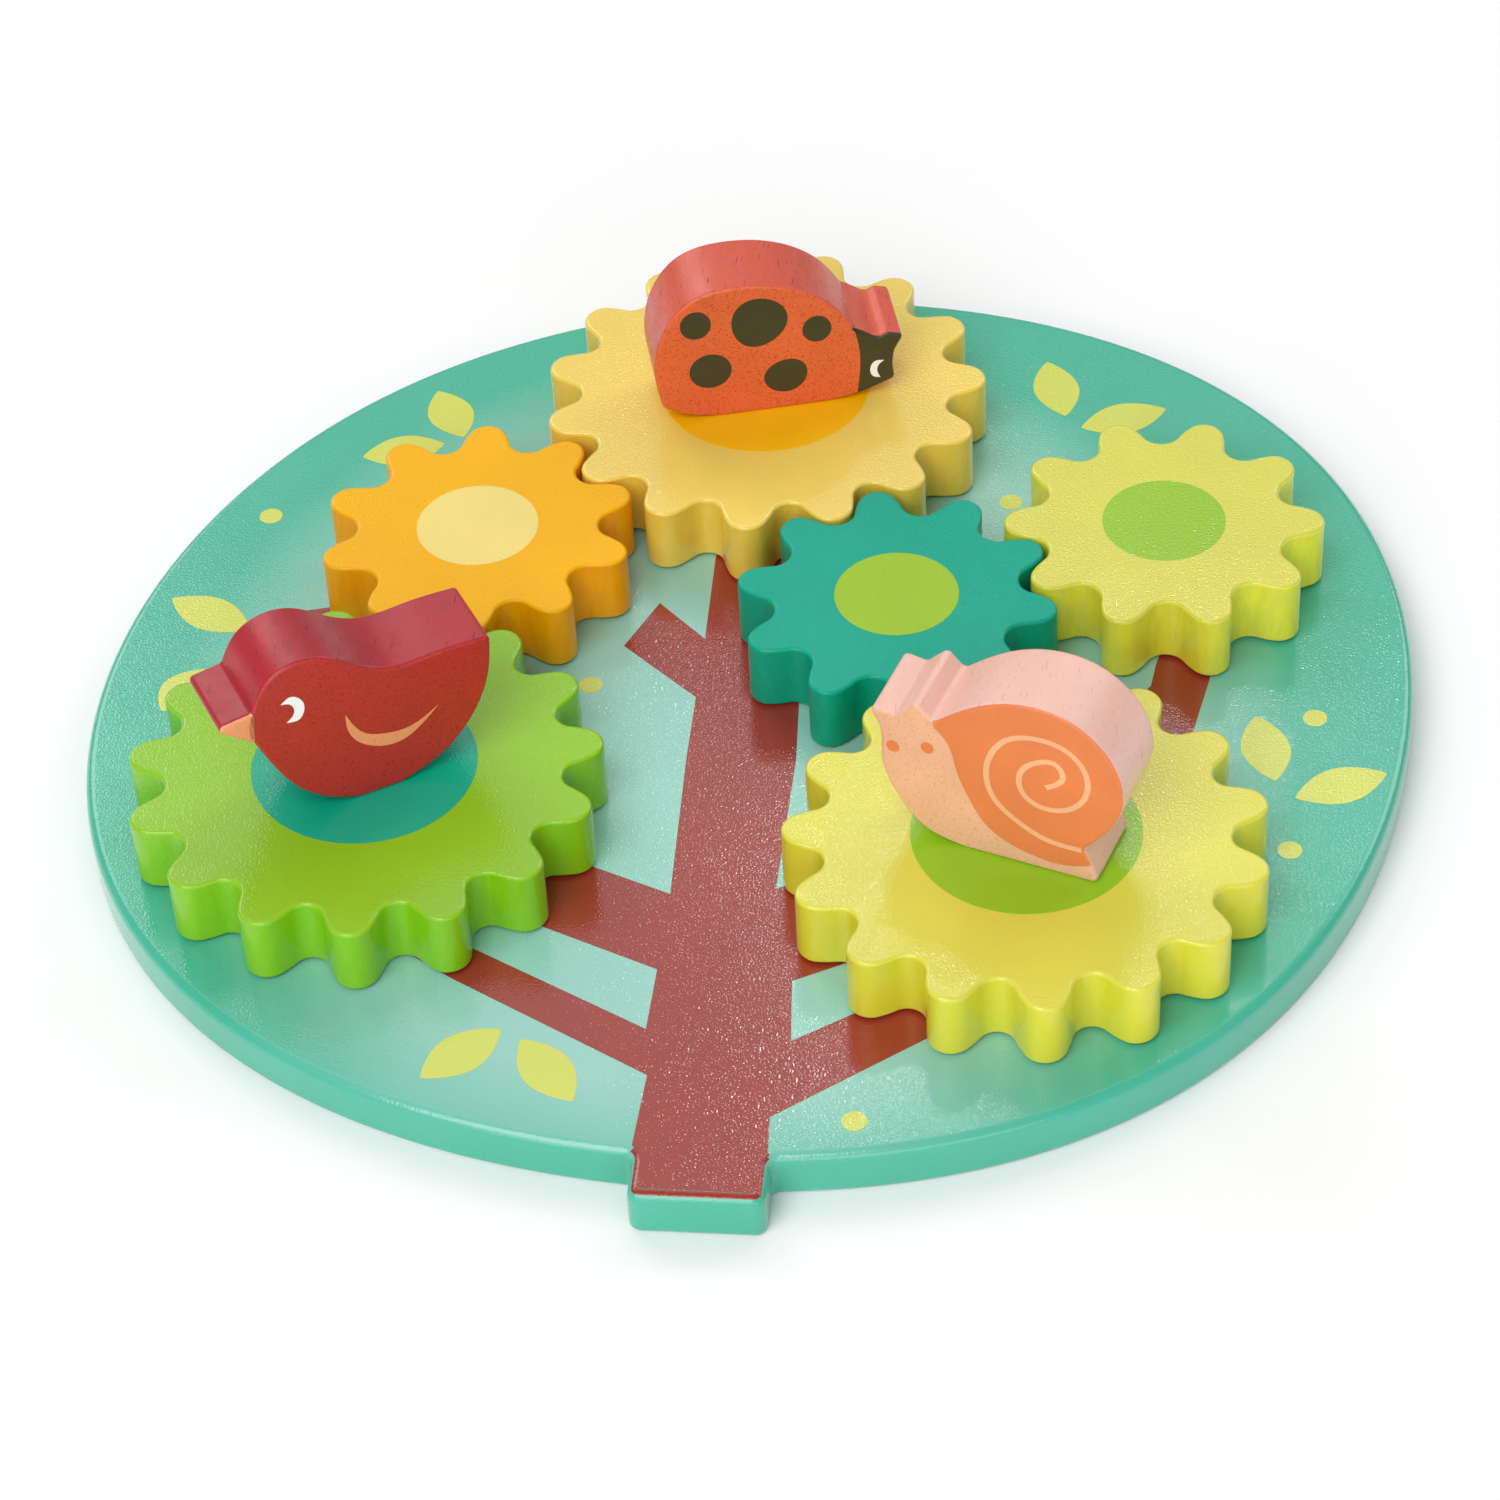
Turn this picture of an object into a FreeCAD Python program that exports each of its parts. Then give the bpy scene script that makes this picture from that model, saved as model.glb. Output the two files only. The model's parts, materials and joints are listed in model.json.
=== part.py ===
"""Wooden gear toy: a tree-shaped board that carries a train of six toothed wheels.

Three large wheels are turned by the animal figure that stands on each of them, and three small
wheels pass the motion on. Each wheel is glued to a dowel axle that runs in a hole of the board
and is kept there by a screw and a washer, sunk into the board's underside.

Millimetres. +Z is up, +Y points up the tree, and the origin is the middle of the crown on the
underside of the board.
"""
import FreeCAD, Part
import math
import os

# Board: the crown is a round that swells by a share of its radius towards each lobe.
CROWN_RADIUS = 141.3
CROWN_LOBES = ((2, 0.0296, 24.0), (3, 0.0121, 66.8), (4, 0.0119, 38.6))  # count, share, direction
CROWN_POINTS = 24
CROWN_ARC_TOLERANCE = 0.1
BOARD_THICKNESS = 10.5
BOARD_TOP_ROUND = 2.2
BOARD_UNDER_EASE = 1.0
TRUNK_WIDTH = 27.4
TRUNK_OFFSET = 0.8
TRUNK_DIRECTION = 270.0
TRUNK_FOOT_REACH = 11.0
TRUNK_CORNER_ROUND = 2.6
TRUNK_CROTCH_ROUND = 2.0

# Wheels: rounded teeth with flanks struck as arcs about the base circle.
MODULE = 6.3
PRESSURE_ANGLE = 30.0
TOOTH_SHARE = 0.47
LARGE_TEETH = 15
SMALL_TEETH = 10
LARGE_TIP_HEIGHT = 3.1
LARGE_ROOT_DEPTH = 5.2
SMALL_TIP_HEIGHT = 3.6
SMALL_ROOT_DEPTH = 4.65
WHEEL_THICKNESS = 16.0
WHEEL_EDGE_EASE = 0.6
WHEEL_LIFT = 0.4

# Train: where the first wheel sits and how its teeth stand, then each wheel from its driver.
FIRST_WHEEL = "ladybird_gear"
FIRST_CENTRE = (-5.5, 84.0)
FIRST_TOOTH_ANGLE = 5.9
TRAIN = (
    ("orange_gear", "ladybird_gear", 221.1),
    ("teal_gear", "ladybird_gear", 296.3),
    ("bird_gear", "orange_gear", 260.2),
    ("lime_gear", "teal_gear", 25.3),
    ("snail_gear", "teal_gear", 293.6),
)
TEETH = {
    "ladybird_gear": LARGE_TEETH,
    "bird_gear": LARGE_TEETH,
    "snail_gear": LARGE_TEETH,
    "orange_gear": SMALL_TEETH,
    "teal_gear": SMALL_TEETH,
    "lime_gear": SMALL_TEETH,
}

# Axles and what keeps them in the board.
AXLE_DIAMETER = 12.0
AXLE_CLEARANCE = 0.08
AXLE_DEPTH_IN_WHEEL = 9.0
AXLE_FLOAT = 0.3
AXLE_END_CHAMFER = 0.6
GLUE_GAP = 0.04
POCKET_DIAMETER = 20.0
POCKET_DEPTH = 5.0
WASHER_DIAMETER = 17.0
WASHER_THICKNESS = 1.0
WASHER_HOLE_GAP = 0.2
SCREW_DIAMETER = 4.0
SCREW_LENGTH = 13.0
SCREW_TIP_LENGTH = 2.5
SCREW_HEAD_DIAMETER = 8.0
SCREW_HEAD_HEIGHT = 2.4
SCREW_HEAD_EASE = 0.9
SCREW_CROSS_LENGTH = 4.4
SCREW_CROSS_WIDTH = 1.0
SCREW_CROSS_DEPTH = 1.4

# Figures: flat profiles cut from one thickness of wood, upright across the middle of a wheel.
FIGURE_THICKNESS = 18.0
FIGURE_EDGE_EASE = 0.6
FIGURE_TIP_ROUND = 1.2
DOWEL_DIAMETER = 5.0
DOWEL_DEPTH_IN_FIGURE = 9.0
DOWEL_DEPTH_IN_WHEEL = 4.5
DOWEL_END_GAP = 0.2

# Directions that the figures' broad faces run in, in degrees from +X.
LADYBIRD_ANGLE = 14.5
BIRD_ANGLE = 30.8
SNAIL_ANGLE = -18.5

# Where each figure's two dowels stand: along its length, across its thickness.
LADYBIRD_DOWELS = ((-8.0, 0.0), (9.0, 0.0))
BIRD_DOWELS = ((0.3, -4.5), (0.3, 4.5))
SNAIL_DOWELS = ((-6.5, 0.0), (10.5, 0.0))

WHEEL_BOTTOM = BOARD_THICKNESS + WHEEL_LIFT
WHEEL_TOP = WHEEL_BOTTOM + WHEEL_THICKNESS
UP = FreeCAD.Vector(0, 0, 1)


def polar(radius, degrees):
    """Point in the XY plane from a radius and a direction."""
    angle = math.radians(degrees)
    return FreeCAD.Vector(radius * math.cos(angle), radius * math.sin(angle), 0)


def unit(degrees):
    return polar(1.0, degrees)


def turned(point, degrees):
    """Point turned about the Z axis."""
    return FreeCAD.Rotation(UP, degrees).multVec(point)


def cylinder(diameter, height, at):
    return Part.makeCylinder(diameter / 2, height, at)


# The board


def crown_radius(degrees):
    """Mean radius, swollen by a cosine wave for each set of lobes."""
    swell = sum(
        share * math.cos(math.radians(count * (degrees - direction)))
        for count, share, direction in CROWN_LOBES
    )
    return CROWN_RADIUS * (1 + swell)


def crown():
    """Crown's outline as a ring of arcs that touch each other end to end."""
    steps = range(CROWN_POINTS)
    points = [polar(crown_radius(360 * i / CROWN_POINTS), 360 * i / CROWN_POINTS) for i in steps]
    outline = Part.BSplineCurve()
    outline.interpolate(Points=points, PeriodicFlag=True)
    arcs = [arc.toShape() for arc in outline.toBiArcs(CROWN_ARC_TOLERANCE)]
    return Part.Face(Part.Wire(arcs)).extrude(UP * BOARD_THICKNESS)


def trunk_foot_end():
    return -(crown_radius(TRUNK_DIRECTION) + TRUNK_FOOT_REACH)


def trunk_foot():
    """Short block below the crown, long enough to root well inside it."""
    corner = FreeCAD.Vector(TRUNK_OFFSET - TRUNK_WIDTH / 2, trunk_foot_end(), 0)
    return Part.makeBox(TRUNK_WIDTH, CROWN_RADIUS / 2, BOARD_THICKNESS, corner)


def upright_edges(shape):
    """Edges along Z, each with its place in the XY plane."""
    found = []
    for edge in shape.Edges:
        ends = [vertex.Point for vertex in edge.Vertexes]
        if len(ends) == 2 and math.hypot(ends[0].x - ends[1].x, ends[0].y - ends[1].y) < 1e-6:
            found.append((edge, ends[0]))
    return found


def rim_edges(shape, height):
    """Edges that lie flat at one height."""
    return [edge for edge in shape.Edges if is_flat(edge, height)]


def is_flat(edge, height):
    box = edge.BoundBox
    return abs(box.ZMin - height) < 1e-4 and abs(box.ZMax - height) < 1e-4


def board(centres):
    blank = crown().fuse(trunk_foot()).removeSplitter()
    sides = [TRUNK_OFFSET - TRUNK_WIDTH / 2, TRUNK_OFFSET + TRUNK_WIDTH / 2]
    foot_end = trunk_foot_end()
    on_sides = [
        (edge, place)
        for edge, place in upright_edges(blank)
        if min(abs(place.x - side) for side in sides) < 1e-3
    ]
    crotches = [edge for edge, place in on_sides if place.y > foot_end + 1e-3]
    blank = blank.makeFillet(TRUNK_CROTCH_ROUND, crotches)
    corners = [edge for edge, place in upright_edges(blank) if abs(place.y - foot_end) < 1e-3]
    blank = blank.makeFillet(TRUNK_CORNER_ROUND, corners)
    plate = blank.makeFillet(BOARD_TOP_ROUND, rim_edges(blank, BOARD_THICKNESS))
    plate = plate.makeChamfer(BOARD_UNDER_EASE, rim_edges(plate, 0))
    for centre in centres.values():
        plate = plate.cut(cylinder(AXLE_DIAMETER + 2 * AXLE_CLEARANCE, BOARD_THICKNESS, centre))
        plate = plate.cut(cylinder(POCKET_DIAMETER, POCKET_DEPTH, centre))
    return plate


# The wheels


def pitch_radius(teeth):
    return MODULE * teeth / 2


def tip_radius(teeth):
    height = LARGE_TIP_HEIGHT if teeth == LARGE_TEETH else SMALL_TIP_HEIGHT
    return pitch_radius(teeth) + height


def root_radius(teeth):
    depth = LARGE_ROOT_DEPTH if teeth == LARGE_TEETH else SMALL_ROOT_DEPTH
    return pitch_radius(teeth) - depth


def touching_centre(direction, flank_centre, flank_radius, end_radius):
    """Middle of the arc that ends on end_radius, runs along direction and touches the flank arc."""
    reach = flank_radius - end_radius
    along = flank_centre.dot(direction)
    distance = (flank_centre.dot(flank_centre) - reach**2) / (2 * (along + reach))
    return direction * distance


def towards(start, target, distance):
    step = target - start
    return start + step * (distance / step.Length)


def half_tooth(teeth):
    """Points down one side of a tooth: tip, tip arc's end, flank's middle, flank's end, root.

    The flank is one arc about the point where the line of action touches the base circle. The
    tip arc and the root arc both touch it.
    """
    pitch = pitch_radius(teeth)
    half_share = TOOTH_SHARE * 180 / teeth
    base = pitch * math.cos(math.radians(PRESSURE_ANGLE))
    flank_radius = pitch * math.sin(math.radians(PRESSURE_ANGLE))
    flank_centre = polar(base, half_share - PRESSURE_ANGLE)
    gap = unit(180 / teeth)
    tip = polar(tip_radius(teeth), 0)
    root = gap * root_radius(teeth)
    tip_centre = touching_centre(unit(0), flank_centre, flank_radius, tip_radius(teeth))
    root_centre = touching_centre(gap, flank_centre, flank_radius, root_radius(teeth))
    flank_start = towards(flank_centre, tip_centre, flank_radius)
    flank_end = towards(flank_centre, root_centre, flank_radius)
    flank_middle = towards(flank_centre, (flank_start + flank_end) / 2, flank_radius)
    return tip, flank_start, flank_middle, flank_end, root


def mirrored(point):
    return FreeCAD.Vector(point.x, -point.y, point.z)


def tooth_arcs(teeth, direction):
    """One tooth from the middle of a gap: half a root, flank, tip, flank."""
    tip, flank_start, flank_middle, flank_end, root = half_tooth(teeth)
    gap_before = turned(root, -360 / teeth)
    arcs = (
        (mirrored(flank_end), mirrored(flank_middle), mirrored(flank_start)),
        (mirrored(flank_start), tip, flank_start),
        (flank_start, flank_middle, flank_end),
        (turned(flank_end, -360 / teeth), gap_before, mirrored(flank_end)),
    )
    return [Part.Arc(*(turned(point, direction) for point in arc)) for arc in arcs]


def wheel(teeth, tooth_angle):
    """Toothed disc about the Z axis with its foot at z = 0 and a blind bore from below."""
    arcs = []
    for i in range(teeth):
        arcs += tooth_arcs(teeth, tooth_angle + 360 * i / teeth)
    edges = Part.__sortEdges__([arc.toShape() for arc in arcs])
    disc = Part.Face(Part.Wire(edges)).extrude(UP * WHEEL_THICKNESS)
    rims = rim_edges(disc, 0) + rim_edges(disc, WHEEL_THICKNESS)
    disc = disc.makeChamfer(WHEEL_EDGE_EASE, rims)
    bore = cylinder(AXLE_DIAMETER + 2 * GLUE_GAP, AXLE_DEPTH_IN_WHEEL, FreeCAD.Vector())
    return disc.cut(bore)


def train():
    """Centre and tooth angle of each wheel, so that every pair stands in mesh.

    Two wheels mesh when a tooth of one faces a gap of the other along the line between their
    centres, counted in teeth on both.
    """
    centres = {FIRST_WHEEL: FreeCAD.Vector(*FIRST_CENTRE, 0)}
    angles = {FIRST_WHEEL: FIRST_TOOTH_ANGLE}
    for name, driver, direction in TRAIN:
        spacing = pitch_radius(TEETH[driver]) + pitch_radius(TEETH[name])
        centres[name] = centres[driver] + polar(spacing, direction)
        driver_part = TEETH[driver] * (direction - angles[driver])
        angles[name] = direction + 180 - (180 - driver_part) / TEETH[name]
    return centres, angles


# Axles, washers and screws


def axle_bottom():
    return POCKET_DEPTH - AXLE_FLOAT


def axle(centre):
    """Dowel from the wheel's bore down to the washer, with a pilot hole for the screw."""
    bottom = centre + UP * axle_bottom()
    length = WHEEL_BOTTOM + AXLE_DEPTH_IN_WHEEL - axle_bottom()
    dowel = cylinder(AXLE_DIAMETER, length, bottom)
    dowel = dowel.makeChamfer(AXLE_END_CHAMFER, rim_edges(dowel, bottom.z + length))
    screw_depth = SCREW_LENGTH - WASHER_THICKNESS
    pilot = cylinder(SCREW_DIAMETER + 2 * GLUE_GAP, screw_depth + DOWEL_END_GAP, bottom)
    return dowel.cut(pilot)


def washer(centre):
    bottom = centre + UP * (axle_bottom() - WASHER_THICKNESS)
    ring = cylinder(WASHER_DIAMETER, WASHER_THICKNESS, bottom)
    return ring.cut(cylinder(SCREW_DIAMETER + 2 * WASHER_HOLE_GAP, WASHER_THICKNESS, bottom))


def screw(centre):
    """Pan-head wood screw turned up into the axle: half profile about Z, then the cross slot."""
    seat = axle_bottom() - WASHER_THICKNESS
    crown_z = seat - SCREW_HEAD_HEIGHT
    head = SCREW_HEAD_DIAMETER / 2
    shank = SCREW_DIAMETER / 2
    tip_z = seat + SCREW_LENGTH
    profile = [
        FreeCAD.Vector(0, 0, crown_z),
        FreeCAD.Vector(head - SCREW_HEAD_EASE, 0, crown_z),
        FreeCAD.Vector(head, 0, crown_z + SCREW_HEAD_EASE),
        FreeCAD.Vector(head, 0, seat),
        FreeCAD.Vector(shank, 0, seat),
        FreeCAD.Vector(shank, 0, tip_z - SCREW_TIP_LENGTH),
        FreeCAD.Vector(0, 0, tip_z),
    ]
    half = Part.Face(Part.makePolygon(profile + profile[:1]))
    body = half.revolve(FreeCAD.Vector(), UP, 360)
    for turn in (0, 90):
        corner = FreeCAD.Vector(-SCREW_CROSS_LENGTH / 2, -SCREW_CROSS_WIDTH / 2, crown_z)
        slot = Part.makeBox(SCREW_CROSS_LENGTH, SCREW_CROSS_WIDTH, SCREW_CROSS_DEPTH, corner)
        slot.rotate(FreeCAD.Vector(), UP, turn)
        body = body.cut(slot)
    body.translate(centre)
    return body


# The figures: profiles in the XZ plane, with the wheel's axis at x = 0 and its top at z = 0


def at(x, z):
    return FreeCAD.Vector(x, 0, z)


def line(*points):
    return Part.makeLine(at(*points[0]), at(*points[1]))


def curve(*points):
    """Smooth line through the points."""
    spline = Part.BSplineCurve()
    spline.interpolate([at(*point) for point in points])
    return spline.toShape()


def ladybird_profile():
    """Domed wing case that drops to a low head with a raised feeler."""
    return [
        line((-11.5, 0.0), (13.0, 0.0)),
        curve((13.0, 0.0), (20.0, 1.2), (28.6, 4.4)),
        curve((28.6, 4.4), (28.2, 8.0), (28.7, 12.2)),
        line((28.7, 12.2), (31.0, 16.6)),
        line((31.0, 16.6), (27.0, 17.6)),
        curve((27.0, 17.6), (25.0, 16.8), (22.8, 18.0), (19.4, 20.2)),
        curve(
            (19.4, 20.2), (15.0, 26.8), (7.3, 32.6), (-6.1, 35.6), (-17.4, 33.0),
            (-24.0, 24.3), (-25.8, 11.8), (-24.6, 4.4),
        ),
        curve((-24.6, 4.4), (-19.5, 1.6), (-11.5, 0.0)),
    ]


def bird_profile():
    """Round head, level back that ends in a pointed tail, and a bowl of a belly."""
    return [
        line((-4.5, 0.0), (5.0, 0.0)),
        curve((5.0, 0.0), (14.0, 3.6), (21.6, 10.8), (26.4, 21.0), (27.6, 31.4)),
        curve(
            (27.6, 31.4), (16.0, 31.9), (6.0, 32.0), (-1.5, 35.7), (-8.0, 40.4),
            (-14.4, 41.7), (-20.7, 39.1), (-24.8, 32.4),
        ),
        line((-24.8, 32.4), (-33.4, 31.4)),
        curve((-33.4, 31.4), (-29.6, 28.0), (-25.1, 24.5)),
        curve((-25.1, 24.5), (-22.0, 16.9), (-17.4, 8.6), (-11.2, 2.9), (-4.5, 0.0)),
    ]


def snail_profile():
    """Tall round shell, two short horns on the head and a tail that ends in a wedge."""
    return [
        line((-10.0, 0.0), (19.4, 0.0)),
        line((19.4, 0.0), (15.7, 8.6)),
        curve(
            (15.7, 8.6), (21.6, 16.4), (24.0, 24.4), (21.2, 34.8), (13.4, 42.0),
            (3.7, 43.6), (-6.5, 40.3), (-16.5, 32.7),
        ),
        line((-16.5, 32.7), (-20.2, 36.6)),
        line((-20.2, 36.6), (-24.8, 31.9)),
        line((-24.8, 31.9), (-31.6, 33.0)),
        curve((-31.6, 33.0), (-28.4, 27.8), (-28.0, 19.1), (-24.3, 9.0), (-18.0, 2.2), (-10.0, 0.0)),
    ]


def tip_corners(profile):
    """Ends where two stretches of a profile meet at a sharp outward or inward turn."""
    corners = []
    for first, second in zip(profile, profile[1:] + profile[:1]):
        before = first.tangentAt(first.LastParameter)
        after = second.tangentAt(second.FirstParameter)
        if math.degrees(before.getAngle(after)) > 25:
            corners.append(first.valueAt(first.LastParameter))
    return corners


def figure(profile):
    """Profile cut from the thickness of the wood, corners rounded, both faces' edges eased."""
    half = FreeCAD.Vector(0, FIGURE_THICKNESS / 2, 0)
    face = Part.Face(Part.Wire(profile))
    face.translate(-half)
    body = face.extrude(half * 2)
    corners = tip_corners(profile)
    across = [edge for edge in body.Edges if is_across(edge) and is_near(edge, corners)]
    body = body.makeFillet(FIGURE_TIP_ROUND, across)
    outline = [edge for edge in body.Edges if is_on_face(edge)]
    return body.makeChamfer(FIGURE_EDGE_EASE, outline)


def is_across(edge):
    box = edge.BoundBox
    return box.YLength > FIGURE_THICKNESS - 1e-3 and box.XLength < 1e-3 and box.ZLength < 1e-3


def is_near(edge, corners):
    middle = edge.BoundBox.Center
    return any(math.hypot(middle.x - c.x, middle.z - c.z) < 1e-3 for c in corners)


def is_on_face(edge):
    box = edge.BoundBox
    return box.YLength < 1e-4 and abs(abs(box.YMin) - FIGURE_THICKNESS / 2) < 1e-4


def placed(shape, angle, centre):
    """Shape turned about Z and stood on top of a wheel."""
    shape = shape.copy()
    shape.rotate(FreeCAD.Vector(), UP, angle)
    shape.translate(centre + UP * WHEEL_TOP)
    return shape


def dowel_holes(places):
    """Blind holes for the dowels, through the joint between wheel and figure."""
    depth = DOWEL_DEPTH_IN_WHEEL + DOWEL_DEPTH_IN_FIGURE + 2 * DOWEL_END_GAP
    foot = -DOWEL_DEPTH_IN_WHEEL - DOWEL_END_GAP
    diameter = DOWEL_DIAMETER + 2 * GLUE_GAP
    return [cylinder(diameter, depth, FreeCAD.Vector(x, y, foot)) for x, y in places]


def dowels(places):
    length = DOWEL_DEPTH_IN_WHEEL + DOWEL_DEPTH_IN_FIGURE
    foot = -DOWEL_DEPTH_IN_WHEEL
    return [cylinder(DOWEL_DIAMETER, length, FreeCAD.Vector(x, y, foot)) for x, y in places]


FIGURES = {
    "ladybird": (ladybird_profile, LADYBIRD_ANGLE, LADYBIRD_DOWELS),
    "bird": (bird_profile, BIRD_ANGLE, BIRD_DOWELS),
    "snail": (snail_profile, SNAIL_ANGLE, SNAIL_DOWELS),
}


def build():
    """Every piece by name."""
    centres, angles = train()
    pieces = {"board": board(centres)}
    for name, centre in centres.items():
        disc = wheel(TEETH[name], angles[name])
        disc.translate(centre + UP * WHEEL_BOTTOM)
        pieces[name] = disc
        pieces[name + "_axle"] = axle(centre)
        pieces[name + "_washer"] = washer(centre)
        pieces[name + "_screw"] = screw(centre)
    for name, (profile, angle, places) in FIGURES.items():
        centre = centres[name + "_gear"]
        holes = [placed(hole, angle, centre) for hole in dowel_holes(places)]
        pieces[name] = placed(figure(profile()), angle, centre).cut(holes)
        pieces[name + "_gear"] = pieces[name + "_gear"].cut(holes)
        pins = [placed(pin, angle, centre) for pin in dowels(places)]
        pieces[name + "_dowels"] = Part.makeCompound(pins)
    return pieces


os.makedirs("parts", exist_ok=True)
for node, shape in build().items():
    shape.exportStep("parts/" + node + ".step")
    print(node, len(shape.Solids), round(shape.Volume, 1), shape.isValid())
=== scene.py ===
import json
import math

import bpy
import numpy as np
from mathutils import Matrix, Vector


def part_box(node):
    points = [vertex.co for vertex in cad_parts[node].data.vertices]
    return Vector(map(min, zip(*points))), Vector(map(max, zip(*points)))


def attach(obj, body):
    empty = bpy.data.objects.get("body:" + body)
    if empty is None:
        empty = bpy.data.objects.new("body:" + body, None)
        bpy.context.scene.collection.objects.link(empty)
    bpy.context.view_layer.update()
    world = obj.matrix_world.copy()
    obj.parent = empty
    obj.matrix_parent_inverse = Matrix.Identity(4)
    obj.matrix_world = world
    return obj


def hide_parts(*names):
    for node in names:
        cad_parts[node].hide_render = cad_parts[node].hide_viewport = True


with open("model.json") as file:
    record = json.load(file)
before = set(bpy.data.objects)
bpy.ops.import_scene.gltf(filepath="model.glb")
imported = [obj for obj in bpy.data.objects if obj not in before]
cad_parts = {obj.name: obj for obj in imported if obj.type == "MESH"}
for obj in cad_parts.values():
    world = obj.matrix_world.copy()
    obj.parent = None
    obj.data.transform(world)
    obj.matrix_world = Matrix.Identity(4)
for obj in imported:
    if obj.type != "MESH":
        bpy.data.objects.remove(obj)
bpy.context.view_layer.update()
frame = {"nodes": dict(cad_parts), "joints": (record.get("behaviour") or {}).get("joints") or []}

# Looks of a wooden gear toy: a painted board with a printed tree, six painted wheels and three
# stained wooden figures. Plane outlines are complex numbers x + iy in millimetres, and every mesh
# is made in metres where the frame has the piece.

MM = 0.001

# Board
CROWN_RADIUS = 141.3
CROWN_LOBES = ((2, 0.0296, 24.0), (3, 0.0121, 66.8), (4, 0.0119, 38.6))  # count, share, direction
CROWN_STEPS = 480
TRUNK_WIDTH = 27.4
TRUNK_OFFSET = 0.8
TRUNK_FOOT_REACH = 11.0
TRUNK_CORNER_ROUND = 2.6
TRUNK_CROTCH_ROUND = 2.0
BOARD_TOP_ROUND = 2.2
BOARD_UNDER_ROUND = 1.2
POCKET_DIAMETER = 20.0
POCKET_DEPTH = 5.0
AXLE_HOLE_DIAMETER = 12.16

# Wheels
MODULE = 6.3
PRESSURE_ANGLE = 30.0
TOOTH_SHARE = 0.47
LARGE_TEETH = 15
SMALL_TEETH = 10
TIP_HEIGHT = {LARGE_TEETH: 3.1, SMALL_TEETH: 3.6}
ROOT_DEPTH = {LARGE_TEETH: 5.2, SMALL_TEETH: 4.65}
TIP_STEPS, FLANK_STEPS, ROOT_STEPS = 7, 5, 6
WHEEL_EDGE_ROUND = 0.9
AXLE_DEPTH_IN_WHEEL = 9.0
FIRST_WHEEL = "ladybird_gear"
FIRST_TOOTH_ANGLE = 5.9
DRIVERS = {
    "orange_gear": "ladybird_gear",
    "teal_gear": "ladybird_gear",
    "bird_gear": "orange_gear",
    "lime_gear": "teal_gear",
    "snail_gear": "teal_gear",
}
TEETH = {
    "ladybird_gear": LARGE_TEETH,
    "orange_gear": SMALL_TEETH,
    "teal_gear": SMALL_TEETH,
    "bird_gear": LARGE_TEETH,
    "lime_gear": SMALL_TEETH,
    "snail_gear": LARGE_TEETH,
}
DISC_RADIUS = {LARGE_TEETH: 23.8, SMALL_TEETH: 13.5}

# Figures
FIGURE_THICKNESS = 18.0
FIGURE_EDGE_ROUND = 0.8
FIGURE_TIP_ROUND = 1.2
FIGURE_DIRECTION = {"ladybird": 14.5, "bird": 30.8, "snail": -18.5}

# Outlines turn a corner where they bend by more than this, in degrees.
CORNER_TURN = 25.0
CORNER_STEPS = 9
# Rings in each rounded rim, and the rows of faces next to a figure's broad face with its paint
ROUND_STEPS = 6
PAINTED_ROWS = 3
# Edges sharper than this, in degrees, stay sharp in the shading.
SHARP_EDGE = 50.0
HOLE_SIDES = 64
HOLE_OVERRUN = 1.0
# Paint lies this high on what it is printed on, and reaches as deep into it.
FILM = 0.05


# Plane geometry


def direction(degrees):
    """Unit number that points in a direction, or one for each of many."""
    return np.exp(1j * np.radians(degrees))


def straight(start, end, spacing=1.0):
    """Evenly spaced points from start to end."""
    count = max(2, int(abs(end - start) / spacing) + 1)
    return start + (end - start) * np.linspace(0, 1, count)


def smooth_through(points, spacing=0.5):
    """Natural cubic spline through the points, with the chord length as its parameter.

    Each span is a cubic, slope and bend run on through every point, and the bend is nil at both
    ends, which gives one equation for the bend at each point.
    """
    p = np.array([complex(*point) for point in points])
    knots = np.concatenate(([0.0], np.cumsum(np.abs(np.diff(p)))))
    width = np.diff(knots)
    slope = np.diff(p) / width
    matrix = np.eye(len(p))
    inner = np.arange(1, len(p) - 1)
    matrix[inner, inner - 1] = width[:-1]
    matrix[inner, inner] = 2 * (width[:-1] + width[1:])
    matrix[inner, inner + 1] = width[1:]
    bend = np.zeros(len(p), complex)
    bend[1:-1] = 6 * np.diff(slope)
    bend = np.linalg.solve(matrix, bend)
    along = np.linspace(0, knots[-1], max(4, int(knots[-1] / spacing) + 1))
    i = np.clip(np.searchsorted(knots, along, "right") - 1, 0, len(p) - 2)
    step = along - knots[i]
    start_slope = slope[i] - width[i] * (2 * bend[i] + bend[i + 1]) / 6
    cubic = (bend[i + 1] - bend[i]) / (6 * width[i])
    return p[i] + step * (start_slope + step * (bend[i] / 2 + step * cubic))


def arc(centre, start, end, count):
    """Points from start to end about centre, the short way, without the last.

    Each is the start turned about the centre by an even share of the angle to the end.
    """
    turn = np.angle((end - centre) / (start - centre))
    return centre + (start - centre) * np.exp(1j * turn * np.arange(count) / count)


def circle(radius, centre=0, count=96):
    """Points evenly spaced about centre, anticlockwise."""
    return centre + radius * np.exp(2j * np.pi * np.arange(count) / count)


def rounded_corner(before, corner, after, turn):
    """Cubic curve that leaves one side and joins the next in their own directions.

    Its two handles point at the corner, as long as makes the curve follow a circle's arc.
    """
    reach = 4 / 3 * math.tan(turn / 4) / math.tan(turn / 2)
    first = before + (corner - before) * reach
    second = after + (corner - after) * reach
    t = np.linspace(0, 1, CORNER_STEPS)
    return (
        before * (1 - t) ** 3
        + 3 * first * t * (1 - t) ** 2
        + 3 * second * t**2 * (1 - t)
        + after * t**3
    )


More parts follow.
